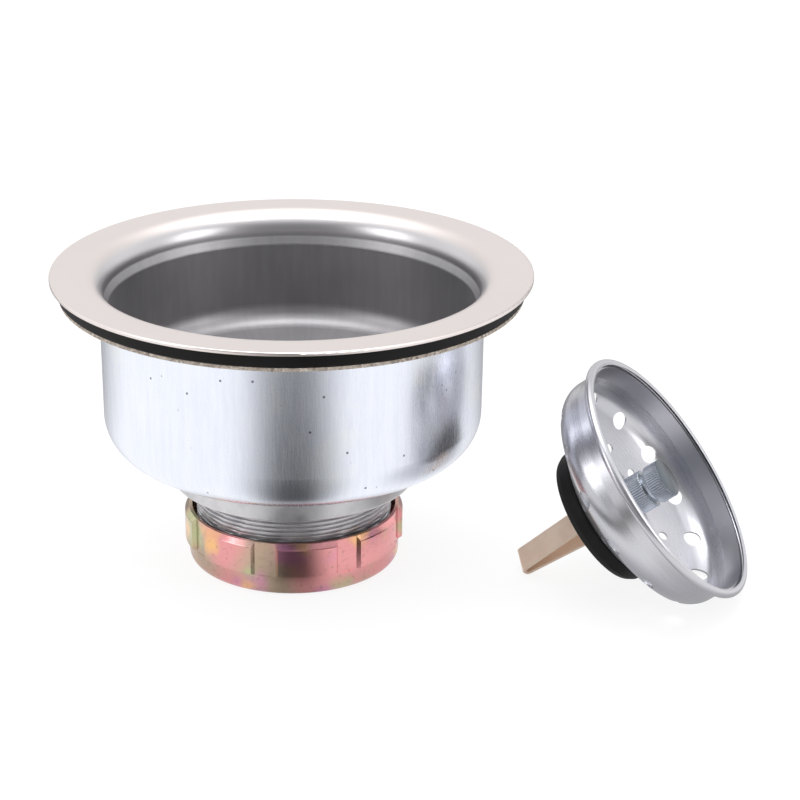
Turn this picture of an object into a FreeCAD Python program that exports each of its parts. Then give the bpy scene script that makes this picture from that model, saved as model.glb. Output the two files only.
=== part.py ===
import FreeCAD, Part
import math
import os
import re
import Sketcher

# Kitchen sink waste with a deep locking shell, and its strainer basket lying beside it.
# The waste stands upright on its coupling nut: Z is its axis and Z = 0 the face it stands on.
# Heights are measured from that face. All lengths are in millimetres, all angles in degrees.

SIZES = {
    # Stamped strainer body: flange, throat, ledge, barrel, sloping floor and drain neck
    "body_sheet": 0.8,
    "body_depth": 27.9,
    "flange_width": 12.55,
    "throat_radius": 44.6,
    "throat_roll": 5.8,
    "throat_depth": 5.9,
    "ledge_width": 1.0,
    "ledge_fall": 2.0,
    "ledge_round": 0.8,
    "floor_height": 45.5,
    "floor_corner": 5.5,
    "floor_fall": 5.2,
    "seat_radius": 24.0,
    "drain_radius": 14.2,
    "neck_length": 5.3,
    # Sealing ring and card ring under the flange
    "gasket_inset": 1.75,
    "gasket_margin": 0.3,
    "gasket_thickness": 3.5,
    "card_inset": 0.4,
    "card_margin": 1.2,
    "card_thickness": 0.8,
    # Deep locking shell
    "shell_sheet": 0.8,
    "shell_clearance": 0.5,
    "shell_taper": 0.3,
    "shell_corner": 10.0,
    "shell_lip_width": 5.8,
    "shell_lip_bend": 2.6,
    "shell_hole_clearance": 0.5,
    # Threaded spud and the crosspiece that its shoulder carries
    "thread_radius": 23.8,
    "spud_end": 7.0,
    "spud_wall": 3.6,
    "spud_flange_width": 3.7,
    "spud_flange_thickness": 2.0,
    "shoulder_width": 6.6,
    "shoulder_thickness": 2.0,
    "neck_clearance": 0.1,
    "crosspiece_thickness": 2.5,
    "crosspiece_rim": 1.6,
    "arm_width": 3.4,
    "hub_radius": 6.4,
    "hub_hole": 4.4,
    # Lock nut
    "nut_clearance": 0.05,
    "lock_nut_foot": 21.0,
    "lock_nut_wall": 5.65,
    "lock_nut_band": 4.2,
    "lock_nut_neck": 3.55,
    "lock_nut_step": 0.8,
    # Coupling nut and the slip washer that lies in it
    "coupling_wall": 1.85,
    "coupling_height": 13.5,
    "coupling_lip": 2.2,
    "coupling_hole": 19.5,
    "mouth_relief": 1.05,
    "mouth_depth": 3.0,
    "pad_count": 8,
    "pad_rise": 1.0,
    "pad_foot": 5.4,
    "pad_bevel": 1.2,
    "base_round": 2.0,
    "pad_gap_width": 5.2,
    "pad_gap_flare": 1.7,
    "first_gap_angle": 29.3,
    "washer_hole_margin": 0.2,
    "washer_clearance": 0.4,
    "washer_thickness": 3.0,
    # Basket, built upright over the tip of its clip and laid down afterwards
    "clip_drop": 21.9,
    "clip_sheet": 0.7,
    "clip_width": 6.2,
    "clip_half_span": 3.4,
    "clip_tip_half": 1.3,
    "clip_tip_round": 1.1,
    "clip_free_gap": 1.4,
    "backing_radius": 7.2,
    "backing_thickness": 0.7,
    "stopper_radius": 17.1,
    "stopper_thickness": 4.7,
    "stopper_round": 0.85,
    "bowl_sheet": 0.5,
    "bowl_flat_margin": 0.2,
    "bowl_radius": 29.8,
    "bowl_rise": 6.3,
    "bowl_corner": 5.9,
    "bowl_depth": 17.2,
    "rim_overhang": 2.2,
    "rim_bead": 1.1,
    "rim_flare": 4.0,
    "curl_end": -130.0,
    "hole_count": 14,
    "large_hole": 2.2,
    "large_hole_tilt": 39.0,
    "small_hole": 1.2,
    "small_hole_margin": 2.9,
    "post_radius": 4.75,
    "post_recess": 1.1,
    "post_cap": 4.0,
    "post_groove": 1.3,
    "post_groove_depth": 1.1,
    "post_collar": 5.9,
    "post_neck_depth": 1.0,
    "screw_radius": 1.5,
    "screw_reach": 7.5,
    "screw_head_width": 0.8,
    "screw_head": 1.2,
    "screw_clearance": 0.1,
    # Where the basket lies: the clip's tip on the floor, its heading and its roll
    "basket_tip_x": 55.3,
    "basket_tip_y": -12.7,
    "basket_heading": -16.3,
    "basket_roll": 38.8,
}

AXIS = FreeCAD.Vector(0, 0, 1)

# A sketch starts as a ring of points here, and its bound sizes pull them into place
START_CENTRE = 50.0
START_RADIUS = 40.0

doc = FreeCAD.newDocument("BasketStrainerWaste")
sheet = doc.addObject("Spreadsheet::Sheet", "Sizes")
for row, (name, value) in enumerate(SIZES.items(), start=1):
    sheet.set("A%d" % row, name)
    sheet.set("B%d" % row, "%g" % value)
    sheet.setAlias("B%d" % row, name)
doc.recompute()


def size(name):
    return float(sheet.get(name))


def bound(text):
    """The expression with each size's name pointing at its cell."""
    return re.sub(r"[a-z_]+", lambda word: "Sizes." + word.group(0) if word.group(0) in SIZES else word.group(0), text)


# Heights and radii that several pieces share, written out of the sizes
FLANGE_RADIUS = "throat_radius + flange_width"
FLANGE_TOP = "floor_height + body_depth"
FLANGE_UNDER = FLANGE_TOP + " - body_sheet"
GASKET_UNDER = FLANGE_UNDER + " - gasket_thickness"
CARD_UNDER = GASKET_UNDER + " - card_thickness"
LEDGE_TOP = FLANGE_TOP + " - throat_depth"
LEDGE_FOOT = LEDGE_TOP + " - ledge_fall"
SEAT_HEIGHT = "floor_height - floor_fall"
SEAT_UNDER = SEAT_HEIGHT + " - body_sheet"
NECK_END = SEAT_HEIGHT + " - neck_length"
SHOULDER_TOP = NECK_END + " - crosspiece_thickness"
SHOULDER_FOOT = SHOULDER_TOP + " - shoulder_thickness"
BARREL_RADIUS = "throat_radius - ledge_width"
NECK_RADIUS = "drain_radius + body_sheet"
SPUD_BORE = "thread_radius - spud_wall"
NUT_BORE = "thread_radius + nut_clearance"
GASKET_RADIUS = FLANGE_RADIUS + " - gasket_inset"
GASKET_BORE = "throat_radius + throat_roll + gasket_margin"
SHELL_BASE = "lock_nut_foot + lock_nut_band + lock_nut_neck"
SHELL_RADIUS = BARREL_RADIUS + " + body_sheet + shell_clearance + shell_sheet"
STOPPER_FOOT = "clip_drop + backing_thickness"
BOWL_FLOOR = STOPPER_FOOT + " + stopper_thickness"
BOWL_FLAT = "stopper_radius + bowl_flat_margin"
BOWL_INSIDE = BOWL_FLOOR + " + bowl_sheet"
RIM_TOP = BOWL_FLOOR + " + bowl_depth"
RIM_RADIUS = "bowl_radius + rim_overhang"
SCREW_HOLE = "screw_radius + screw_clearance"


def origin_plane(body, role):
    return next(item for item in body.Origin.OriginFeatures if item.Role == role)


def outline(body, name, role, corners):
    """A closed sketch of straight edges whose corners are bound to the sizes."""
    sketch = body.newObject("Sketcher::SketchObject", name)
    sketch.AttachmentSupport = (origin_plane(body, role), "")
    sketch.MapMode = "FlatFace"
    count = len(corners)
    start = []
    for i in range(count):
        turn = 2 * math.pi * i / count
        across = START_CENTRE + START_RADIUS * math.cos(turn)
        start.append(FreeCAD.Vector(across, START_CENTRE + START_RADIUS * math.sin(turn), 0))
    for i in range(count):
        sketch.addGeometry(Part.LineSegment(start[i], start[(i + 1) % count]), False)
    for i in range(count):
        sketch.addConstraint(Sketcher.Constraint("Coincident", i, 2, (i + 1) % count, 1))
    for i, corner in enumerate(corners):
        for kind, axis, text in zip(("DistanceX", "DistanceY"), (-2, -1), corner):
            if text == "0":
                sketch.addConstraint(Sketcher.Constraint("PointOnObject", i, 1, axis))
            else:
                index = sketch.addConstraint(Sketcher.Constraint(kind, -1, 1, i, 1, 10.0))
                sketch.setExpression("Constraints[%d]" % index, bound(text))
    doc.recompute()
    return sketch


def ring_edges(shape, corner):
    """Names of the round edges that a corner of the section draws."""
    found = []
    for number, edge in enumerate(shape.Edges, start=1):
        if not isinstance(edge.Curve, Part.Circle):
            continue
        centre = edge.Curve.Center
        if abs(edge.Curve.Radius - corner.x) < 1e-4 and abs(centre.z - corner.y) < 1e-4:
            found.append("Edge%d" % number)
    return found


def turned(label, corners, rounds=()):
    """A body turned about Z from a section of radius and height, with some corners rounded."""
    body = doc.addObject("PartDesign::Body", label)
    sketch = outline(body, label + "_section", "XZ_Plane", corners)
    turning = body.newObject("PartDesign::Revolution", label + "_turning")
    turning.Profile = sketch
    turning.ReferenceAxis = (sketch, ["V_Axis"])
    turning.Angle = 360
    doc.recompute()
    last = turning
    for index, radius in rounds:
        fillet = body.newObject("PartDesign::Fillet", label + "_round")
        fillet.Base = (last, ring_edges(last.Shape, sketch.Geometry[index].StartPoint))
        fillet.setExpression("Radius", bound(radius))
        doc.recompute()
        last = fillet
    return body


def strainer_body():
    outside = "body_sheet / 2"
    return turned("strainer_body", [
        (FLANGE_RADIUS, FLANGE_UNDER),
        (FLANGE_RADIUS, FLANGE_TOP),
        ("throat_radius", FLANGE_TOP),
        ("throat_radius", LEDGE_TOP),
        (BARREL_RADIUS, LEDGE_FOOT),
        (BARREL_RADIUS, "floor_height"),
        ("seat_radius", SEAT_HEIGHT),
        ("drain_radius", SEAT_HEIGHT),
        ("drain_radius", NECK_END),
        (NECK_RADIUS, NECK_END),
        (NECK_RADIUS, SEAT_UNDER),
        ("seat_radius", SEAT_UNDER),
        (BARREL_RADIUS + " + body_sheet", "floor_height - body_sheet"),
        (BARREL_RADIUS + " + body_sheet", LEDGE_FOOT + " - " + outside),
        ("throat_radius + body_sheet", LEDGE_TOP + " - " + outside),
        ("throat_radius + body_sheet", FLANGE_UNDER),
    ], [
        (1, "body_sheet * 0.45"),
        (2, "throat_roll"),
        (15, "throat_roll - body_sheet"),
        (3, "ledge_round"),
        (4, "ledge_round"),
        (5, "floor_corner"),
        (12, "floor_corner + body_sheet"),
        (7, "body_sheet * 1.5"),
        (10, "body_sheet * 0.5"),
    ])


def rubber_gasket():
    return turned("rubber_gasket", [
        (GASKET_BORE, GASKET_UNDER),
        (GASKET_RADIUS, GASKET_UNDER),
        (GASKET_RADIUS, FLANGE_UNDER),
        (GASKET_BORE, FLANGE_UNDER),
    ], [
        (1, "gasket_thickness * 0.15"),
        (2, "gasket_thickness * 0.1"),
    ])


def friction_ring():
    bore = GASKET_BORE + " - card_margin"
    radius = GASKET_RADIUS + " - card_inset"
    return turned("friction_ring", [
        (bore, CARD_UNDER),
        (radius, CARD_UNDER),
        (radius, GASKET_UNDER),
        (bore, GASKET_UNDER),
    ])


def locking_shell():
    hole = "thread_radius + shell_hole_clearance"
    foot = SHELL_RADIUS + " - shell_taper"
    lip = SHELL_RADIUS + " + shell_lip_width"
    lip_under = CARD_UNDER + " - shell_sheet"
    return turned("locking_shell", [
        (hole, SHELL_BASE),
        (foot, SHELL_BASE),
        (SHELL_RADIUS, lip_under),
        (lip, lip_under),
        (lip, CARD_UNDER),
        (SHELL_RADIUS + " - shell_sheet", CARD_UNDER),
        (foot + " - shell_sheet", SHELL_BASE + " + shell_sheet"),
        (hole, SHELL_BASE + " + shell_sheet"),
    ], [
        (1, "shell_corner"),
        (6, "shell_corner - shell_sheet"),
        (2, "shell_lip_bend"),
        (5, "shell_lip_bend + shell_sheet"),
    ])


def threaded_spud():
    flange = "thread_radius + spud_flange_width"
    neck_bore = NECK_RADIUS + " + neck_clearance"
    shoulder_bore = SPUD_BORE + " - shoulder_width"
    return turned("threaded_spud", [
        (SPUD_BORE, "spud_end"),
        ("thread_radius", "spud_end"),
        ("thread_radius", SEAT_UNDER + " - spud_flange_thickness"),
        (flange, SEAT_UNDER + " - spud_flange_thickness"),
        (flange, SEAT_UNDER + " - body_sheet / 2"),
        ("seat_radius", SEAT_UNDER),
        (NECK_RADIUS + " + body_sheet", SEAT_UNDER),
        (neck_bore, SEAT_UNDER + " - body_sheet"),
        (neck_bore, SHOULDER_TOP),
        (shoulder_bore, SHOULDER_TOP),
        (shoulder_bore, SHOULDER_FOOT),
        (SPUD_BORE, SHOULDER_FOOT + " - shoulder_width / 2"),
    ], [
        (1, "spud_wall * 0.2"),
    ])


def lock_nut():
    """A round ring nut: a wide band below and a slightly narrower neck against the shell."""
    radius = NUT_BORE + " + lock_nut_wall"
    neck = radius + " - lock_nut_step"
    band_top = "lock_nut_foot + lock_nut_band"
    return turned("lock_nut", [
        (NUT_BORE, "lock_nut_foot"),
        (radius, "lock_nut_foot"),
        (radius, band_top),
        (neck, band_top),
        (neck, SHELL_BASE),
        (NUT_BORE, SHELL_BASE),
    ], [
        (1, "lock_nut_step * 0.8"),
        (2, "lock_nut_step * 0.5"),
    ])


def slip_washer():
    """A sealing washer whose upper outer edge is bevelled to wedge into the end of the spud."""
    top = "coupling_lip + washer_thickness"
    hole = "coupling_hole + washer_hole_margin"
    radius = "thread_radius - washer_clearance"
    return turned("slip_washer", [
        (hole, "coupling_lip"),
        (radius, "coupling_lip"),
        (radius, top + " - washer_thickness / 4"),
        (radius + " - washer_thickness / 4", top),
        (hole, top),
    ])


def coupling_nut():
    """A round nut with wide pads round its upper part and a lip that carries the slip washer."""
    label = "coupling_nut"
    band = NUT_BORE + " + coupling_wall"
    pads = band + " + pad_rise"
    mouth = NUT_BORE + " + mouth_relief"
    mouth_foot = "coupling_height - mouth_depth"
    body = turned(label, [
        ("coupling_hole", "0"),
        (band, "0"),
        (band, "pad_foot - pad_rise / 2"),
        (pads, "pad_foot"),
        (pads, "coupling_height - pad_bevel"),
        (band, "coupling_height"),
        (mouth, "coupling_height"),
        (mouth, mouth_foot),
        (NUT_BORE, mouth_foot + " - mouth_relief"),
        (NUT_BORE, "coupling_lip"),
        ("coupling_hole", "coupling_lip"),
    ], [
        (1, "base_round"),
        (4, "pad_bevel * 0.4"),
    ])
    gap_floor = band + " - pad_rise * 0.1"
    gap_mouth = pads + " + pad_rise"
    gap = outline(body, label + "_gap_section", "XY_Plane", [
        (gap_floor, "-pad_gap_width / 2"),
        (gap_mouth, "-pad_gap_width / 2 - pad_gap_flare"),
        (gap_mouth, "pad_gap_width / 2 + pad_gap_flare"),
        (gap_floor, "pad_gap_width / 2"),
    ])
    gap.AttachmentOffset.Rotation = FreeCAD.Rotation(AXIS, size("first_gap_angle"))
    gap.setExpression("AttachmentOffset.Rotation.Angle", bound("first_gap_angle"))
    gap.setExpression("AttachmentOffset.Base.z", bound("pad_foot - pad_rise / 2"))
    cut = body.newObject("PartDesign::Pocket", label + "_gap")
    cut.Profile = gap
    cut.Reversed = True
    cut.setExpression("Length", bound("coupling_height"))
    doc.recompute()
    gaps = body.newObject("PartDesign::PolarPattern", label + "_gaps")
    gaps.Originals = [cut]
    gaps.Axis = (gap, ["N_Axis"])
    gaps.Angle = 360
    gaps.setExpression("Occurrences", bound("pad_count"))
    body.Tip = gaps
    doc.recompute()
    return body


def cylinder(name, radius, foot, height):
    item = doc.addObject("Part::Cylinder", name)
    item.setExpression("Radius", bound(radius))
    item.setExpression("Height", bound(height))
    item.setExpression("Placement.Base.z", bound(foot))
    return item


def arm(name, long_side, short_side):
    """A flat bar centred on the axis."""
    item = doc.addObject("Part::Box", name)
    item.setExpression("Length", bound(long_side))
    item.setExpression("Width", bound(short_side))
    item.setExpression("Height", bound("crosspiece_thickness"))
    item.setExpression("Placement.Base.x", bound("-(" + long_side + ") / 2"))
    item.setExpression("Placement.Base.y", bound("-(" + short_side + ") / 2"))
    item.setExpression("Placement.Base.z", bound(SHOULDER_TOP))
    return item


def fused(name, items):
    item = doc.addObject("Part::MultiFuse", name)
    item.Shapes = items
    item.Refine = True
    return item


def cut_from(name, base, tool):
    item = doc.addObject("Part::Cut", name)
    item.Base = base
    item.Tool = tool
    item.Refine = True
    return item


def crosspiece():
    """A stamped ring with four arms and a middle hole that the basket's clip snaps into."""
    thickness = "crosspiece_thickness"
    ring = cut_from(
        "crosspiece_ring",
        cylinder("crosspiece_disc", NECK_RADIUS, SHOULDER_TOP, thickness),
        cylinder("crosspiece_eye", NECK_RADIUS + " - crosspiece_rim", SHOULDER_TOP, thickness),
    )
    span = "2 * (" + NECK_RADIUS + ") - crosspiece_rim"
    star = fused("crosspiece_star", [
        ring,
        arm("crosspiece_arm_x", span, "arm_width"),
        arm("crosspiece_arm_y", "arm_width", span),
        cylinder("crosspiece_hub", "hub_radius", SHOULDER_TOP, thickness),
    ])
    return cut_from("crosspiece", star, cylinder("crosspiece_hole", "hub_hole", SHOULDER_TOP, thickness))


def bowl_height():
    """Height of the bowl's outer floor over the tip of the clip."""
    return size("clip_drop") + size("backing_thickness") + size("stopper_thickness")


def bowl_slope():
    """Rise over run of the conical part between the flat floor and the corner."""
    return size("bowl_rise") / (size("bowl_radius") - size("stopper_radius") - size("bowl_flat_margin"))


def cone_height(radius):
    """Height of the cone's outer face at a radius."""
    return bowl_height() + (radius - size("stopper_radius") - size("bowl_flat_margin")) * bowl_slope()


def corner_centre():
    """Radius and height of the centre that the bowl's outer corner is drawn round."""
    radius = size("bowl_radius") - size("bowl_corner")
    return radius, cone_height(radius) + size("bowl_corner") * math.hypot(1, bowl_slope())


def drill(name, radius, distance, height, tilt, turn):
    """A drill across the bowl's wall, tilted from the axis and turned round it."""
    item = doc.addObject("Part::Cylinder", name)
    item.setExpression("Radius", bound(radius))
    item.setExpression("Height", bound("bowl_corner"))
    heading = FreeCAD.Rotation(AXIS, turn)
    middle = heading.multVec(FreeCAD.Vector(distance, 0, height))
    rotation = heading.multiply(FreeCAD.Rotation(FreeCAD.Vector(0, 1, 0), 180 - tilt))
    start = middle - rotation.multVec(AXIS) * (size("bowl_corner") / 2)
    item.Placement = FreeCAD.Placement(start, rotation)
    return item


def bowl_drills():
    """One ring of large holes round the corner and one of small holes in the cone."""
    corner_radius, corner_height = corner_centre()
    tilt = math.radians(size("large_hole_tilt"))
    large_distance = corner_radius + size("bowl_corner") * math.sin(tilt)
    large_height = corner_height - size("bowl_corner") * math.cos(tilt)
    small_distance = size("stopper_radius") + size("bowl_flat_margin") + size("small_hole_margin")
    small_tilt = math.degrees(math.atan(bowl_slope()))
    drills = []
    count = int(size("hole_count"))
    for i in range(count):
        turn = 360.0 * i / count
        drills.append(drill("large_drill", "large_hole", large_distance, large_height,
                            size("large_hole_tilt"), turn))
        drills.append(drill("small_drill", "small_hole", small_distance, cone_height(small_distance),
                            small_tilt, turn))
    return fused("bowl_drills", drills)


def basket_bowl():
    """A drawn bowl with a rolled bead for a rim and two rings of holes."""
    neck_foot = RIM_TOP + " - rim_bead - rim_flare"
    bead_height = RIM_TOP + " - rim_bead"
    bead_inside = RIM_RADIUS + " - 2 * rim_bead"
    cone_fall = "bowl_sheet * bowl_rise / (bowl_radius - stopper_radius - bowl_flat_margin)"
    wall = turned("bowl_pressing", [
        (SCREW_HOLE, BOWL_FLOOR),
        (BOWL_FLAT, BOWL_FLOOR),
        ("bowl_radius", BOWL_FLOOR + " + bowl_rise"),
        ("bowl_radius", neck_foot),
        (bead_inside + " + bowl_sheet", bead_height),
        (bead_inside, bead_height),
        ("bowl_radius - bowl_sheet", neck_foot),
        ("bowl_radius - bowl_sheet", BOWL_INSIDE + " + bowl_rise - " + cone_fall),
        (BOWL_FLAT, BOWL_INSIDE),
        (SCREW_HOLE, BOWL_INSIDE),
    ], [
        (2, "bowl_corner"),
        (7, "bowl_corner - bowl_sheet"),
        (1, "bowl_corner / 2"),
        (8, "bowl_corner / 2 + bowl_sheet"),
    ])
    rolls = []
    for name, radius in (("bead_outside", "rim_bead"), ("bead_inside", "rim_bead - bowl_sheet")):
        roll = doc.addObject("Part::Torus", name)
        roll.setExpression("Radius1", bound(RIM_RADIUS + " - rim_bead"))
        roll.setExpression("Radius2", bound(radius))
        roll.setExpression("Angle1", bound("curl_end"))
        roll.Angle2 = 180
        roll.setExpression("Placement.Base.z", bound(bead_height))
        rolls.append(roll)
    blank = fused("bowl_blank", [wall, cut_from("bowl_bead", rolls[0], rolls[1])])
    return cut_from("basket_bowl", blank, bowl_drills())


def knob_post():
    """A spool of a knob on a short neck, threaded from below for the clip's screw."""
    cap_top = RIM_TOP + " - post_recess"
    cap_foot = cap_top + " - post_cap"
    collar_top = cap_foot + " - post_groove"
    collar_foot = collar_top + " - post_collar"
    groove = "post_radius - post_groove_depth"
    neck = "post_radius - post_neck_depth"
    hole_top = BOWL_INSIDE + " + screw_reach"
    return turned("knob_post", [
        (SCREW_HOLE, BOWL_INSIDE),
        (neck, BOWL_INSIDE),
        (neck, collar_foot + " - post_neck_depth"),
        ("post_radius", collar_foot),
        ("post_radius", collar_top),
        (groove, collar_top),
        (groove, cap_foot),
        ("post_radius", cap_foot),
        ("post_radius", cap_top),
        ("0", cap_top),
        ("0", hole_top + " + screw_radius"),
        (SCREW_HOLE, hole_top),
    ], [
        (8, "post_groove / 4"),
        (7, "post_groove / 6"),
        (4, "post_groove / 6"),
    ])


def stopper():
    """A thick rubber disc whose lower edge tapers in a little."""
    return turned("stopper", [
        (SCREW_HOLE, STOPPER_FOOT),
        ("stopper_radius - stopper_round", STOPPER_FOOT),
        ("stopper_radius", STOPPER_FOOT + " + stopper_thickness / 3"),
        ("stopper_radius", BOWL_FLOOR),
        (SCREW_HOLE, BOWL_FLOOR),
    ], [
        (3, "stopper_round"),
        (1, "stopper_round"),
    ])


def backing_washer():
    return turned("backing_washer", [
        (SCREW_HOLE, "clip_drop"),
        ("backing_radius", "clip_drop"),
        ("backing_radius", STOPPER_FOOT),
        (SCREW_HOLE, STOPPER_FOOT),
    ])


def clip_screw():
    """The screw that holds the clip, the washer, the stopper and the bowl to the post."""
    clip_under = "clip_drop - clip_sheet"
    head = "screw_radius + screw_head_width"
    tip = BOWL_INSIDE + " + screw_reach - screw_radius"
    return turned("clip_screw", [
        ("0", clip_under + " - screw_head"),
        (head, clip_under + " - screw_head"),
        (head, clip_under),
        ("screw_radius", clip_under),
        ("screw_radius", tip),
        ("0", tip),
    ], [
        (1, "screw_head / 2"),
    ])


def side_edges(shape, corner):
    """Names of the straight edges that a corner of the strip's outline draws."""
    found = []
    for number, edge in enumerate(shape.Edges, start=1):
        if not isinstance(edge.Curve, Part.Line):
            continue
        ends = [vertex.Point for vertex in edge.Vertexes]
        if all(abs(end.x - corner.x) < 1e-4 and abs(end.z - corner.y) < 1e-4 for end in ends):
            found.append("Edge%d" % number)
    return found


def spring_clip():
    """A hairpin bent from one strip: base plate, first leg, folded tip and free second leg."""
    label = "spring_clip"
    body = doc.addObject("PartDesign::Body", label)
    base_under = "clip_drop - clip_sheet"
    inner_half = "clip_tip_half - clip_sheet"
    sketch = outline(body, label + "_outline", "XZ_Plane", [
        ("-clip_half_span + clip_sheet", "clip_drop"),
        ("clip_half_span", "clip_drop"),
        ("clip_tip_half", "0"),
        ("-clip_tip_half", "0"),
        ("-clip_half_span", base_under + " - clip_free_gap"),
        ("-clip_half_span + clip_sheet", base_under + " - clip_free_gap"),
        ("-(" + inner_half + ")", "clip_sheet"),
        (inner_half, "clip_sheet"),
        ("clip_half_span - clip_sheet", base_under),
        ("-clip_half_span + clip_sheet", base_under),
    ])
    strip = body.newObject("PartDesign::Pad", label + "_strip")
    strip.Profile = sketch
    strip.Midplane = True
    strip.setExpression("Length", bound("clip_width"))
    doc.recompute()
    last = strip
    rounds = [
        ((2, 3), "clip_tip_round"),
        ((6, 7), "clip_tip_round * 0.4"),
        ((1,), "clip_sheet * 1.5"),
        ((8,), "clip_sheet * 0.5"),
    ]
    for corners, radius in rounds:
        fillet = body.newObject("PartDesign::Fillet", label + "_bend")
        edges = [name for i in corners for name in side_edges(last.Shape, sketch.Geometry[i].StartPoint)]
        fillet.Base = (last, edges)
        fillet.setExpression("Radius", bound(radius))
        doc.recompute()
        last = fillet
    hole = body.newObject("Sketcher::SketchObject", label + "_hole_outline")
    hole.AttachmentSupport = (origin_plane(body, "XY_Plane"), "")
    hole.MapMode = "FlatFace"
    hole.addGeometry(Part.Circle(FreeCAD.Vector(0, 0, 0), AXIS, size("screw_radius")), False)
    hole.addConstraint(Sketcher.Constraint("Coincident", 0, 3, -1, 1))
    index = hole.addConstraint(Sketcher.Constraint("Radius", 0, size("screw_radius")))
    hole.setExpression("Constraints[%d]" % index, bound(SCREW_HOLE))
    hole.setExpression("AttachmentOffset.Base.z", bound("clip_drop - clip_sheet * 2"))
    doc.recompute()
    pocket = body.newObject("PartDesign::Pocket", label + "_hole")
    pocket.Profile = hole
    pocket.Reversed = True
    pocket.setExpression("Length", bound("clip_sheet * 3"))
    doc.recompute()
    return body


def bowl_reach(tilt):
    """How far the bowl's corner reaches below the clip's tip when the axis is tilted by this angle."""
    radius, height = corner_centre()
    return radius * math.cos(tilt) - height * math.sin(tilt) + size("bowl_corner")


def tip_reach(tilt):
    """How far the fold at the end of the clip reaches below the point that the basket is built on."""
    leg_lean = math.atan2(size("clip_half_span") - size("clip_tip_half"), size("clip_drop") - size("clip_sheet"))
    fold = size("clip_tip_round")
    fold_centre = size("clip_tip_half") - fold / math.tan(math.pi / 4 + leg_lean / 2)
    roll = math.radians(size("basket_roll"))
    along = math.sin(roll) * math.cos(tilt)
    across = math.cos(roll) * math.cos(tilt)
    edge = size("clip_width") / 2 * along + fold_centre * across
    return edge - fold * math.sin(tilt) + fold * math.sqrt(1 - along ** 2)


def resting_tilt():
    """The tilt of the basket's axis at which bowl and clip touch the floor together."""
    low = math.radians(5)
    high = math.radians(85)
    for _ in range(60):
        middle = (low + high) / 2
        if bowl_reach(middle) > tip_reach(middle):
            low = middle
        else:
            high = middle
    return (low + high) / 2


def basket_placement():
    tilt = resting_tilt()
    roll = FreeCAD.Rotation(AXIS, size("basket_roll"))
    lean = FreeCAD.Rotation(FreeCAD.Vector(0, 1, 0), 90 - math.degrees(tilt))
    heading = FreeCAD.Rotation(AXIS, size("basket_heading"))
    place = FreeCAD.Vector(size("basket_tip_x"), size("basket_tip_y"), tip_reach(tilt))
    return FreeCAD.Placement(place, heading.multiply(lean).multiply(roll))


waste_parts = [
    strainer_body(),
    rubber_gasket(),
    friction_ring(),
    locking_shell(),
    threaded_spud(),
    crosspiece(),
    lock_nut(),
    coupling_nut(),
    slip_washer(),
]
basket_parts = [
    basket_bowl(),
    knob_post(),
    stopper(),
    backing_washer(),
    spring_clip(),
    clip_screw(),
]
doc.recompute()
lying = basket_placement()
for item in basket_parts:
    item.Placement = lying
doc.recompute()

for item in doc.Objects:
    if "Invalid" in item.State or "Error" in item.State:
        raise RuntimeError("failed: " + item.Name)
os.makedirs("parts", exist_ok=True)
for item in waste_parts + basket_parts:
    if item.Shape.isNull() or not item.Shape.isValid():
        raise RuntimeError("bad shape: " + item.Label)
    item.Shape.exportStep("parts/" + item.Label + ".step")
    box = item.Shape.BoundBox
    print("%-16s solids %d volume %9.1f  z %6.2f to %6.2f" % (
        item.Label, len(item.Shape.Solids), item.Shape.Volume, box.ZMin, box.ZMax))
print("basket tilt %.2f" % math.degrees(resting_tilt()))
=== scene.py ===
import math
import bpy
from mathutils import Matrix, Vector


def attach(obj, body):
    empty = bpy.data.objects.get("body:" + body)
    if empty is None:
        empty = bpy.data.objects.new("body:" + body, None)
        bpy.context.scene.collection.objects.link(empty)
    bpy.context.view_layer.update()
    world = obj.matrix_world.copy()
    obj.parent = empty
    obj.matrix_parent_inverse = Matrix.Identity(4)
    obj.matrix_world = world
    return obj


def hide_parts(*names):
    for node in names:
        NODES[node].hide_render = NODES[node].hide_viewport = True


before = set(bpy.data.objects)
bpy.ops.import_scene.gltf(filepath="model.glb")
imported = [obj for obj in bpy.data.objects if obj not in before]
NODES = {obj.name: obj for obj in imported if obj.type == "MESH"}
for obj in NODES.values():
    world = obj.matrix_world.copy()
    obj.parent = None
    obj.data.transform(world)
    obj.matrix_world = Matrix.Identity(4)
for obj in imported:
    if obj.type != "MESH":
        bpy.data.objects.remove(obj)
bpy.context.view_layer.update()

MM = 0.001
FULL_TURN = 2 * math.pi
WHITE = (1.0, 1.0, 1.0)

# Where the basket lies: the tip of its clip, then its heading, the tilt of its axis and its roll,
# all three in degrees
BASKET_TIP = Vector((55.3, -12.7, 2.005)) * MM
BASKET_HEADING = -16.3
BASKET_TILT = 37.75
BASKET_ROLL = 38.8
BASKET = (
    Matrix.Translation(BASKET_TIP)
    @ Matrix.Rotation(math.radians(BASKET_HEADING), 4, "Z")
    @ Matrix.Rotation(math.radians(90.0 - BASKET_TILT), 4, "Y")
    @ Matrix.Rotation(math.radians(BASKET_ROLL), 4, "Z")
)

# Camera: fitted to the flange, the shell and the coupling nut in the photo. Its angles are in
# radians, its lens and its sensor in millimetres
CAMERA_PLACE = Vector((0.0, -539.70, 253.32)) * MM
CAMERA_PITCH = 0.37632
CAMERA_YAW = 0.04778
CAMERA_ROLL = 0.01045
CAMERA_LENS = 108.0
CAMERA_SENSOR = 36.0
CAMERA_NEAREST = 0.01
CAMERA_FARTHEST = 20.0


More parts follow.
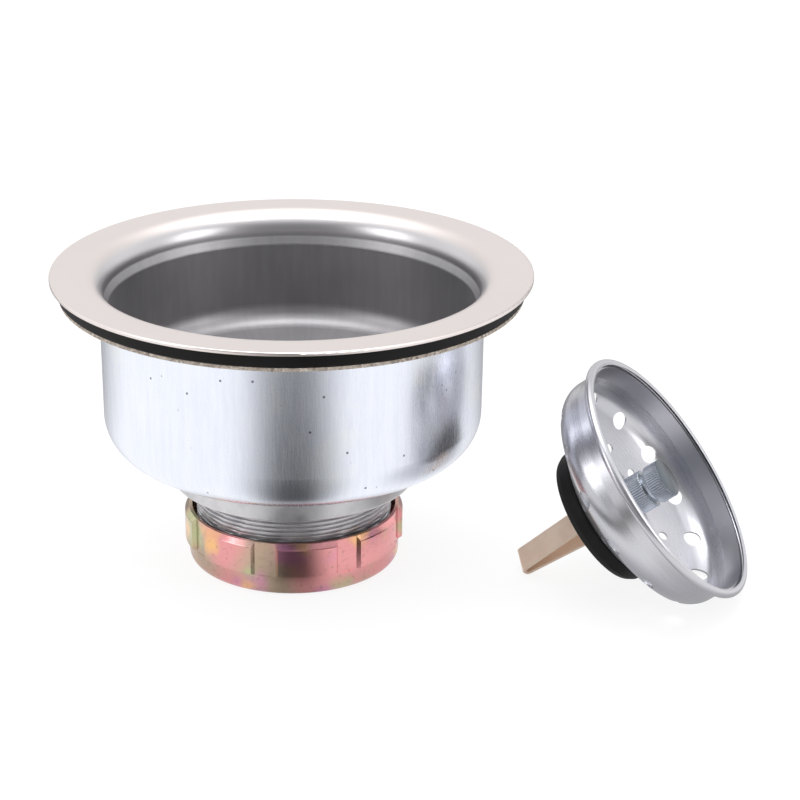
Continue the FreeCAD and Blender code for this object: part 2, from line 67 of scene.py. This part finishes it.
def make_camera():
    data = bpy.data.cameras.new("camera")
    data.lens = CAMERA_LENS
    data.sensor_width = CAMERA_SENSOR
    data.clip_start = CAMERA_NEAREST
    data.clip_end = CAMERA_FARTHEST
    camera = bpy.data.objects.new("camera", data)
    bpy.context.scene.collection.objects.link(camera)
    forward = Vector((
        math.sin(CAMERA_YAW) * math.cos(CAMERA_PITCH),
        math.cos(CAMERA_YAW) * math.cos(CAMERA_PITCH),
        -math.sin(CAMERA_PITCH),
    ))
    right = Vector((math.cos(CAMERA_YAW), -math.sin(CAMERA_YAW), 0.0))
    up = right.cross(forward)
    level = Matrix((right, up, -forward)).transposed().to_4x4()
    roll = Matrix.Rotation(CAMERA_ROLL, 4, "Z")
    camera.matrix_world = Matrix.Translation(CAMERA_PLACE) @ level @ roll
    bpy.context.scene.camera = camera


class Nodes:
    """A node tree that grows by short calls."""

    # Nearly all of a noise lies within the first span, and most of it within the second
    NOISE_SPAN = (0.3, 0.7)
    NOISE_CORE = (0.35, 0.65)

    def __init__(self, tree):
        self.tree = tree

    def node(self, kind, inputs=(), output=0, **settings):
        made = self.tree.nodes.new(kind)
        for name, value in settings.items():
            setattr(made, name, value)
        for key, value in dict(inputs).items():
            self.put(made.inputs[key], value)
        return made.outputs[output]

    def put(self, socket, value):
        if isinstance(value, bpy.types.NodeSocket):
            self.tree.links.new(value, socket)
        else:
            socket.default_value = value

    def math(self, operation, a, b=0.0):
        return self.node("ShaderNodeMath", {0: a, 1: b}, operation=operation)

    def plus(self, a, b):
        return self.math("ADD", a, b)

    def minus(self, a, b):
        return self.math("SUBTRACT", a, b)

    def times(self, a, b):
        return self.math("MULTIPLY", a, b)

    def length(self, x, y):
        return self.math("SQRT", self.plus(self.times(x, x), self.times(y, y)))

    def place(self):
        """Where the point lies on the part, in metres, in the frame that it was modelled in."""
        return self.node("ShaderNodeTexCoord", output="Object")

    def basket_place(self):
        """The same point in the basket's own frame, with Z along its axis."""
        place = self.place()
        inverse = BASKET.inverted()
        axes = []
        for row in range(3):
            along = self.node("ShaderNodeVectorMath", {0: place, 1: tuple(inverse[row][:3])},
                              output="Value", operation="DOT_PRODUCT")
            axes.append(self.plus(along, inverse[row][3]))
        return self.join(*axes)

    def split(self, vector):
        made = self.tree.nodes.new("ShaderNodeSeparateXYZ")
        self.put(made.inputs[0], vector)
        return made.outputs[0], made.outputs[1], made.outputs[2]

    def join(self, x, y, z):
        return self.node("ShaderNodeCombineXYZ", {0: x, 1: y, 2: z})

    def polar(self, vector):
        """(unit direction x, unit direction y, radius, height) round the Z axis."""
        x, y, z = self.split(vector)
        radius = self.length(x, y)
        return self.math("DIVIDE", x, radius), self.math("DIVIDE", y, radius), radius, z

    def noise(self, vector, scale, detail=2.0, roughness=0.5):
        return self.node("ShaderNodeTexNoise", {
            "Vector": vector, "Scale": scale, "Detail": detail, "Roughness": roughness,
        }, output="Fac")

    def streaks(self, across, along, height, shortness, scale, detail, roughness):
        """Noise drawn out along the Z axis; a higher shortness gives shorter streaks."""
        squeezed = self.join(across, along, self.times(height, shortness))
        return self.noise(squeezed, scale, detail, roughness)

    def cells(self, vector, scale):
        """Distance to the nearest of many scattered points."""
        return self.node("ShaderNodeTexVoronoi", {"Vector": vector, "Scale": scale},
                         output="Distance")

    def fit(self, value, low, high, to_low=0.0, to_high=1.0):
        """Goes smoothly from to_low to to_high while the value goes from low to high."""
        return self.node("ShaderNodeMapRange", {
            "Value": value, "From Min": low, "From Max": high, "To Min": to_low, "To Max": to_high,
        }, interpolation_type="SMOOTHSTEP")

    def vary(self, noise, low, high):
        """A value that the noise moves between low and high."""
        return self.fit(noise, *self.NOISE_SPAN, to_low=low, to_high=high)

    def ramp(self, value, stops):
        """stops is a list of (place, (red, green, blue))."""
        made = self.tree.nodes.new("ShaderNodeValToRGB")
        self.put(made.inputs[0], value)
        elements = made.color_ramp.elements
        while len(elements) < len(stops):
            elements.new(0.5)
        for element, (where, color) in zip(elements, stops):
            element.position = where
            element.color = (*color, 1.0)
        return made.outputs[0]

    def mix(self, amount, a, b):
        """The colour a where the amount is 0, and b where it is 1."""
        made = self.tree.nodes.new("ShaderNodeMix")
        made.data_type = "RGBA"
        colors = [socket for socket in made.inputs if socket.type == "RGBA"]
        self.put(made.inputs[0], amount)
        for socket, value in zip(colors, (a, b)):
            self.put(socket, (*value, 1.0) if isinstance(value, tuple) else value)
        return next(socket for socket in made.outputs if socket.type == "RGBA")

    def mottle(self, noise, a, b):
        """Patches of two colours, placed by the noise."""
        return self.mix(self.fit(noise, *self.NOISE_CORE), a, b)

    def cover(self, under, mask, over, strength):
        """The colour under, with the colour over laid on it by the mask, as strongly as said."""
        return self.mix(self.times(mask, strength), under, over)


class Finish(Nodes):
    """A material whose shader is a Principled BSDF."""

    def __init__(self, name):
        self.material = bpy.data.materials.new(name)
        self.material.use_nodes = True
        super().__init__(self.material.node_tree)
        self.shader = self.tree.nodes["Principled BSDF"]

    def set(self, **values):
        """Sets the shader's sockets: base_color=..., metallic=..., specular_ior_level=..."""
        for name, value in values.items():
            label = name.replace("_", " ").title().replace("Ior", "IOR")
            if isinstance(value, tuple) and len(value) == 3:
                value = (*value, 1.0)
            self.put(self.shader.inputs[label], value)

    def bump(self, height, strength, distance):
        normal = self.node("ShaderNodeBump", {
            "Height": height, "Strength": strength, "Distance": distance,
        })
        self.put(self.shader.inputs["Normal"], normal)


# Finishes of the waste

# Heights over which the strainer body's barrel turns into its throat, and that into the flange
BARREL_TO_THROAT = (66.6 * MM, 70.0 * MM)
THROAT_TO_FLANGE = (70.8 * MM, 72.9 * MM)
# Heights over which green comes in towards the coupling nut's top
NUT_TO_RIM = (14.4 * MM, 16.2 * MM)


def satin_stainless():
    """Stamped stainless: warm and satin on the flange; in the barrel a dark grey that is painted
    shade inside the cup, with drawing marks.
    """
    f = Finish("satin_stainless")
    across, along, radius, height = f.polar(f.place())
    marks = f.streaks(across, along, height, shortness=3.0, scale=22.0, detail=4.0, roughness=0.6)
    rings = f.noise(f.join(radius, 0.0, 0.0), scale=2600.0)
    clouds = f.noise(f.place(), scale=34.0)
    flat = f.fit(height, *THROAT_TO_FLANGE)
    inside = f.minus(1.0, f.fit(height, *BARREL_TO_THROAT))
    marked = f.times(f.fit(marks, 0.40, 0.64), inside)
    clouded = f.fit(clouds, *f.NOISE_CORE)
    tone = f.mix(flat, (0.54, 0.53, 0.545), (0.765, 0.70, 0.68))
    # Painted shade: below the throat the tone is made dark grey, standing for the shade inside the
    # cup.
    tone = f.mix(inside, tone, (0.315, 0.31, 0.325))
    tone = f.cover(tone, marked, (0.44, 0.44, 0.45), strength=0.16)
    tone = f.cover(tone, clouded, (0.88, 0.82, 0.80), strength=0.08)
    rough = f.plus(f.vary(rings, 0.30, 0.34), f.times(inside, 0.14))
    f.set(base_color=tone, metallic=1.0, roughness=rough)
    relief = f.plus(f.times(rings, 0.4), f.times(marks, inside))
    f.bump(relief, strength=0.02, distance=0.2 * MM)
    return f.material


def bright_zinc():
    """Zinc-plated drawn steel: bluish, with upright drawing marks, blotches and small pits."""
    f = Finish("bright_zinc")
    place = f.place()
    across, along, _, height = f.polar(place)
    marks = f.streaks(across, along, height, shortness=2.2, scale=30.0, detail=5.0, roughness=0.62)
    fine = f.streaks(across, along, height, shortness=1.2, scale=150.0, detail=2.0, roughness=0.6)
    blotches = f.noise(place, scale=70.0, detail=3.0, roughness=0.6)
    # Only some of the scattered points become pits
    dots = f.fit(f.cells(place, scale=300.0), 0.12, 0.05)
    pits = f.times(dots, f.fit(f.noise(place, scale=60.0, detail=1.0), 0.52, 0.58))
    tone = f.mix(f.fit(marks, 0.36, 0.68), (0.84, 0.87, 0.955), (0.79, 0.825, 0.92))
    tone = f.cover(tone, f.fit(blotches, 0.50, 0.72), (0.92, 0.92, 0.88), strength=0.35)
    tone = f.mix(pits, tone, (0.16, 0.17, 0.20))
    f.set(base_color=tone, metallic=1.0, roughness=f.vary(fine, 0.25, 0.30))
    relief = f.plus(f.times(marks, 0.7), f.times(fine, 0.3))
    f.bump(f.minus(relief, f.times(pits, 0.8)), strength=0.04, distance=0.3 * MM)
    return f.material


def dull_casting():
    """Die-cast zinc gone dull: grey, a little mottled, with soft grain."""
    f = Finish("dull_casting")
    place = f.place()
    patches = f.noise(place, scale=140.0, detail=4.0, roughness=0.6)
    grain = f.noise(place, scale=1500.0, roughness=0.6)
    tone = f.mottle(patches, (0.52, 0.515, 0.535), (0.66, 0.65, 0.665))
    f.set(base_color=tone, metallic=0.9, roughness=f.vary(patches, 0.34, 0.46))
    f.bump(f.plus(grain, f.times(patches, 0.6)), strength=0.18, distance=0.15 * MM)
    return f.material


def yellow_chromate():
    """Iridescent chromate over a glossy casting: soft patches of several hues, dusted over."""
    f = Finish("yellow_chromate")
    place = f.place()
    _, _, height = f.split(place)
    color = (0.50, 0.38, 0.28)
    # For each hue: the shift and the scale of its noise, the span over which it comes in, itself
    patches = [
        ((0.00, 0.00, 0.00), 44.0, (0.38, 0.56), (0.76, 0.33, 0.33)),
        ((0.31, 0.07, 0.19), 90.0, (0.56, 0.70), (0.46, 0.46, 0.27)),
        ((0.11, 0.43, 0.05), 80.0, (0.58, 0.76), (0.66, 0.28, 0.42)),
        ((0.23, 0.17, 0.41), 95.0, (0.56, 0.72), (0.86, 0.50, 0.22)),
    ]
    for shift, scale, span, hue in patches:
        moved = f.node("ShaderNodeVectorMath", {0: place, 1: shift}, operation="ADD")
        patch = f.noise(moved, scale, detail=1.5, roughness=0.45)
        color = f.mix(f.fit(patch, *span), color, hue)
    uneven = f.fit(f.noise(place, scale=55.0, detail=1.0), 0.40, 0.56)
    rim = f.times(f.fit(height, *NUT_TO_RIM), uneven)
    color = f.cover(color, rim, (0.34, 0.56, 0.32), strength=0.8)
    dust = f.noise(place, scale=900.0, detail=3.0, roughness=0.6)
    color = f.cover(color, f.fit(dust, 0.54, 0.74), (0.24, 0.20, 0.18), strength=0.40)
    f.set(base_color=color, metallic=0.95, roughness=f.vary(dust, 0.15, 0.23))
    f.bump(dust, strength=0.06, distance=0.12 * MM)
    return f.material


def black_rubber():
    """Black rubber with a faint bloom and fine grain."""
    f = Finish("black_rubber")
    place = f.place()
    grain = f.noise(place, scale=1400.0, roughness=0.6)
    bloom = f.noise(place, scale=60.0, detail=3.0, roughness=0.6)
    tone = f.mix(f.fit(bloom, 0.4, 0.7), (0.006, 0.0055, 0.0055), (0.012, 0.011, 0.0115))
    f.set(base_color=tone, roughness=f.vary(bloom, 0.50, 0.62), specular_ior_level=0.18)
    f.bump(grain, strength=0.12, distance=0.1 * MM)
    return f.material


def fibre_board():
    """Pressed grey-brown fibre with pale and dark specks."""
    f = Finish("fibre_board")
    place = f.place()
    specks = f.noise(place, scale=1300.0, detail=3.0, roughness=0.7)
    fibres = f.noise(place, scale=420.0, detail=3.0, roughness=0.6)
    tone = f.ramp(specks, [
        (0.34, (0.12, 0.095, 0.08)),
        (0.46, (0.30, 0.25, 0.21)),
        (0.58, (0.46, 0.40, 0.34)),
        (0.70, (0.72, 0.66, 0.60)),
    ])
    tone = f.cover(tone, f.fit(fibres, 0.45, 0.65), (0.50, 0.44, 0.38), strength=0.5)
    f.set(base_color=tone, roughness=0.88)
    f.bump(specks, strength=0.5, distance=0.25 * MM)
    return f.material


def white_plastic():
    """White plastic with a slight haze."""
    f = Finish("white_plastic")
    haze = f.noise(f.place(), scale=160.0)
    tone = f.mix(haze, (0.80, 0.80, 0.78), (0.88, 0.88, 0.86))
    f.set(base_color=tone, roughness=0.42)
    f.bump(haze, strength=0.05, distance=0.1 * MM)
    return f.material


# Finishes of the basket

# Heights on the basket's axis, just under the knob's face, over which its tone goes darker
KNOB_TO_FACE = (43.2 * MM, 43.35 * MM)


def bright_stainless():
    """Drawn stainless steel with faint turning marks round the basket's axis."""
    f = Finish("bright_stainless")
    place = f.basket_place()
    _, _, radius, height = f.polar(place)
    rings = f.noise(f.join(radius, height, 0.0), scale=1500.0)
    clouds = f.noise(place, scale=45.0)
    tone = f.mottle(clouds, (0.52, 0.52, 0.56), (0.58, 0.575, 0.605))
    f.set(base_color=tone, metallic=1.0, roughness=f.vary(rings, 0.27, 0.285))
    return f.material


def plated_knob():
    """Bluish plating, darker on the knob's face."""
    f = Finish("plated_knob")
    haze = f.noise(f.place(), scale=300.0, detail=3.0, roughness=0.6)
    _, _, height = f.split(f.basket_place())
    tone = f.mottle(haze, (0.33, 0.36, 0.40), (0.40, 0.43, 0.47))
    tone = f.mix(f.fit(height, *KNOB_TO_FACE), tone, (0.11, 0.13, 0.15))
    f.set(base_color=tone, metallic=1.0, roughness=0.26)
    f.bump(haze, strength=0.02, distance=0.05 * MM)
    return f.material


def spring_steel():
    """Peach-toned strip with a soft sheen."""
    f = Finish("spring_steel")
    haze = f.noise(f.place(), scale=220.0, detail=3.0, roughness=0.6)
    tone = f.mottle(haze, (0.90, 0.70, 0.55), (0.94, 0.76, 0.61))
    f.set(base_color=tone, metallic=0.2, roughness=0.36)
    f.bump(haze, strength=0.02, distance=0.05 * MM)
    return f.material


# Pieces whose thread or knurl is finer than the solids. Their lengths are in millimetres

SHARP_ANGLE = 32.0

THREAD_LEAD = 2.2087
THREAD_STARTS = 2
THREAD_DEPTH = 0.6
THREAD_RUNOUT = 2.0
# Shares of half a pitch: the crest, and the flank that goes down from it
THREAD_CREST = 0.30
THREAD_FLANK = 0.40

SPUD_FOOT = 7.0
SPUD_TOP = 37.5
SPUD_CREST = 23.8
SPUD_CHAMFER = 0.72
SPUD_STEPS = 300
SPUD_COLUMNS = 220
# The mould's parting line: half of its width, as a share of the radius, and its depth
PARTING_WIDTH = 0.022
PARTING_DEPTH = 0.16

KNURL_TEETH = 48
KNURL_DEPTH = 0.2
KNURL_POWER = 1.5
COLUMNS_PER_TOOTH = 6


def clamped(share):
    return min(1.0, max(0.0, share))


def turned_mesh(name, rings, count, surface, closed):
    """A surface turned about Z, from rings of (radius, height).

    surface(radius, angle, height) gives the radius that a ring has at that angle.
    """
    points = []
    rows = []
    for radius, height in rings:
        if radius == 0.0:
            rows.append([len(points)] * count)
            points.append((0.0, 0.0, height))
            continue
        row = []
        for i in range(count):
            angle = FULL_TURN * i / count
            cut = surface(radius, angle, height)
            row.append(len(points))
            points.append((cut * math.cos(angle), cut * math.sin(angle), height))
        rows.append(row)
    if closed:
        rows.append(rows[0])
    faces = []
    for low, high in zip(rows, rows[1:]):
        for i in range(count):
            j = (i + 1) % count
            corners = [low[i], low[j], high[j], high[i]]
            faces.append(list(dict.fromkeys(corners)))
    mesh = bpy.data.meshes.new(name)
    mesh.from_pydata([Vector(point) * MM for point in points], [], faces)
    mesh.shade_smooth()
    mesh.set_sharp_from_angle(angle=math.radians(SHARP_ANGLE))
    piece = bpy.data.objects.new(name, mesh)
    bpy.context.scene.collection.objects.link(piece)
    return piece


def thread_groove(angle, height):
    """0 on the crest of a right-hand thread and 1 at its root."""
    turn = (height / THREAD_LEAD - angle / FULL_TURN) * THREAD_STARTS % 1.0
    away = abs(turn - 0.5) * 2
    return clamped((away - THREAD_CREST) / THREAD_FLANK)


def spud():
    """The threaded spud with its thread cut in; the mould's parting line runs down both sides."""
    wall = [
        (SPUD_CREST, SPUD_FOOT + (SPUD_TOP - SPUD_FOOT) * i / SPUD_STEPS)
        for i in range(SPUD_STEPS + 1)
    ]
    # The flange over the thread, then the bore with its shoulder, down to the foot again
    rest = [
        (27.5, SPUD_TOP), (27.5, 39.1), (24.0, 39.5), (15.8, 39.5), (15.1, 38.7), (15.1, 32.5),
        (13.6, 32.5), (13.6, 30.5), (20.2, 27.2), (20.2, SPUD_FOOT),
    ]

    def surface(radius, angle, height):
        if radius != SPUD_CREST:
            return radius
        runout = clamped((SPUD_TOP - height) / THREAD_RUNOUT)
        cut = SPUD_CREST - THREAD_DEPTH * thread_groove(angle, height) * runout
        if abs(math.cos(angle)) < PARTING_WIDTH:
            cut -= PARTING_DEPTH
        return min(cut, SPUD_CREST - SPUD_CHAMFER + height - SPUD_FOOT)

    piece = turned_mesh("threaded_spud_thread", wall + rest, SPUD_COLUMNS, surface, closed=True)
    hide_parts("threaded_spud")
    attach(piece, "root")
    return piece


def knob():
    """The basket's knob with a straight knurl round its cap and its collar."""
    side, groove, neck, hole = 4.75, 3.65, 3.75, 1.6
    rings = [
        # The screw's hole from its point down, and the neck
        (0.0, 36.8), (hole, 35.3), (hole, 27.8), (neck, 27.8), (neck, 31.2),
        # The collar
        (side - 0.25, 31.95), (side, 32.2), (side, 33.2), (side, 36.9), (side, 37.9),
        (side - 0.2, 38.1),
        # The groove and the cap
        (groove, 38.1), (groove, 39.4), (side - 0.2, 39.4), (side, 39.6), (side, 40.2),
        (side, 42.6), (side, 43.1), (side - 0.1, 43.3), (side - 0.3, 43.4), (0.0, 43.4),
    ]

    def surface(radius, angle, height):
        if radius != side:
            return radius
        tooth = (angle * KNURL_TEETH / FULL_TURN) % 1.0
        return side - KNURL_DEPTH * (1.0 - abs(tooth - 0.5) * 2) ** KNURL_POWER

    columns = KNURL_TEETH * COLUMNS_PER_TOOTH
    piece = turned_mesh("knob_post_knurl", rings, columns, surface, closed=False)
    piece.data.transform(BASKET)
    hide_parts("knob_post")
    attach(piece, "root")
    return piece


def paint(node, material):
    data = NODES[node].data
    data.materials.clear()
    data.materials.append(material)


def dress():
    stainless = satin_stainless()
    basket_steel = bright_stainless()
    casting = dull_casting()
    rubber = black_rubber()
    spring = spring_steel()
    for node, material in {
        "strainer_body": stainless,
        "crosspiece": stainless,
        "rubber_gasket": rubber,
        "friction_ring": fibre_board(),
        "locking_shell": bright_zinc(),
        "lock_nut": casting,
        "coupling_nut": yellow_chromate(),
        "slip_washer": white_plastic(),
        "basket_bowl": basket_steel,
        "backing_washer": basket_steel,
        "stopper": rubber,
        "spring_clip": spring,
        "clip_screw": spring,
    }.items():
        paint(node, material)
    spud().data.materials.append(casting)
    knob().data.materials.append(plated_knob())


# Studio. Its lengths are in metres

FLOOR_HALF = 3.0
FLOOR_GLOW = 0.86
UNDER_BASKET = (0.085, -0.022, 0.0)
LAMP_AIM = Vector((0.0, 0.0, 0.05))


def make_world():
    """A pale room: white to the camera, bright overhead, behind and beside, greyer in front."""
    world = bpy.data.worlds.new("studio")
    bpy.context.scene.world = world
    world.use_nodes = True
    n = Nodes(world.node_tree)
    x, y, z = n.split(n.node("ShaderNodeTexCoord", output="Generated"))
    room = n.fit(y, -0.7, 0.6, to_low=0.30, to_high=0.92)
    overhead = n.times(n.fit(z, 0.62, 0.86), 0.75)
    sides = n.times(n.fit(n.math("ABSOLUTE", x), 0.45, 0.8), 0.35)
    level = n.plus(room, n.plus(overhead, sides))
    seen_directly = n.node("ShaderNodeLightPath", output="Is Camera Ray")
    background = world.node_tree.nodes["Background"]
    n.put(background.inputs["Color"], n.mix(seen_directly, n.join(level, level, level), WHITE))
    background.inputs["Strength"].default_value = 1.0


def floor_in_metal(f):
    """What metal shows of the floor: painted reflections, with which the floor glows only to
    glossy rays.

    It is bright at the sides, dark straight in front and greyer behind, as painted reflections of
    the room.
    Under the waste it is a pale painted pool of light, and round the basket it is grey again as
    painted shade.
    """
    place = f.place()
    x, y, _ = f.split(place)
    spread = f.math("ABSOLUTE", f.math("ARCTAN2", x, f.times(y, -1.0)))
    distance = f.length(x, y)
    # Painted reflections of the room: dark straight in front, bright to the sides, greyer behind.
    middle = f.fit(distance, 0.10, 0.28, to_low=0.09, to_high=0.38)
    front = f.fit(spread, math.radians(5), math.radians(32), to_low=middle, to_high=1.12)
    back = f.fit(spread, math.radians(100), math.radians(150), to_low=0.0, to_high=0.72)
    # Painted light: a pale pool under the waste, which the shell's bottom shows as a highlight
    # line.
    under = f.times(
        f.fit(distance, 0.031, 0.039, to_low=1.0, to_high=0.0),
        f.fit(spread, 0.15, 0.75, to_low=0.45, to_high=1.0),
    )
    # Painted shade: grey round the basket, in what metal shows of the floor.
    aside = f.node("ShaderNodeVectorMath", {0: place, 1: UNDER_BASKET},
                   output="Value", operation="DISTANCE")
    painted_shade_round_basket = f.fit(aside, 0.020, 0.055, to_low=0.70, to_high=0.0)
    seen = f.mix(under, f.minus(front, back), (0.85, 0.85, 0.85))
    return f.mix(painted_shade_round_basket, seen, (0.34, 0.34, 0.36))


def make_floor():
    """A sheet that is near white to the camera, pale to soft light, and glows with banded painted
    reflections to metal.
    """
    half = FLOOR_HALF
    corners = [(-half, -half, 0), (half, -half, 0), (half, half, 0), (-half, half, 0)]
    mesh = bpy.data.meshes.new("floor")
    mesh.from_pydata(corners, [], [(0, 1, 2, 3)])
    floor = bpy.data.objects.new("floor", mesh)
    bpy.context.scene.collection.objects.link(floor)
    f = Finish("floor")
    painted_floor_reflection = f.node("ShaderNodeEmission", {"Color": floor_in_metal(f), "Strength": 1.0})
    glow = f.node("ShaderNodeEmission", {"Color": (*WHITE, 1.0), "Strength": FLOOR_GLOW})
    matt = f.node("ShaderNodeBsdfDiffuse", {"Color": (0.17, 0.17, 0.17, 1.0)})
    direct = f.node("ShaderNodeAddShader", {0: glow, 1: matt})
    f.set(base_color=(0.86, 0.86, 0.86), roughness=0.9, specular_ior_level=0.0)
    paper = f.shader.outputs[0]
    rays = f.tree.nodes.new("ShaderNodeLightPath").outputs
    # Glossy rays see the painted reflections; other rays see the pale paper.
    bounced = f.node("ShaderNodeMixShader", {0: rays["Is Glossy Ray"], 1: paper, 2: painted_floor_reflection})
    shown = f.node("ShaderNodeMixShader", {0: rays["Is Camera Ray"], 1: bounced, 2: direct})
    f.put(f.tree.nodes["Material Output"].inputs["Surface"], shown)
    mesh.materials.append(f.material)


def make_lamp(name, place, width, height, power):
    data = bpy.data.lights.new(name, "AREA")
    data.shape = "RECTANGLE"
    data.size = width
    data.size_y = height
    data.energy = power
    lamp = bpy.data.objects.new(name, data)
    bpy.context.scene.collection.objects.link(lamp)
    lamp.location = place
    lamp.rotation_euler = (LAMP_AIM - Vector(place)).to_track_quat("-Z", "Y").to_euler()


def light_studio():
    make_world()
    make_floor()
    make_lamp("overhead", place=(0.0, 0.02, 0.80), width=0.55, height=0.40, power=2.2)
    make_lamp("left", place=(-0.75, -0.35, 0.42), width=0.40, height=0.50, power=1.6)
    make_lamp("right", place=(0.75, -0.35, 0.42), width=0.40, height=0.50, power=1.6)


make_camera()
light_studio()
dress()
bpy.context.scene.view_settings.view_transform = "Standard"
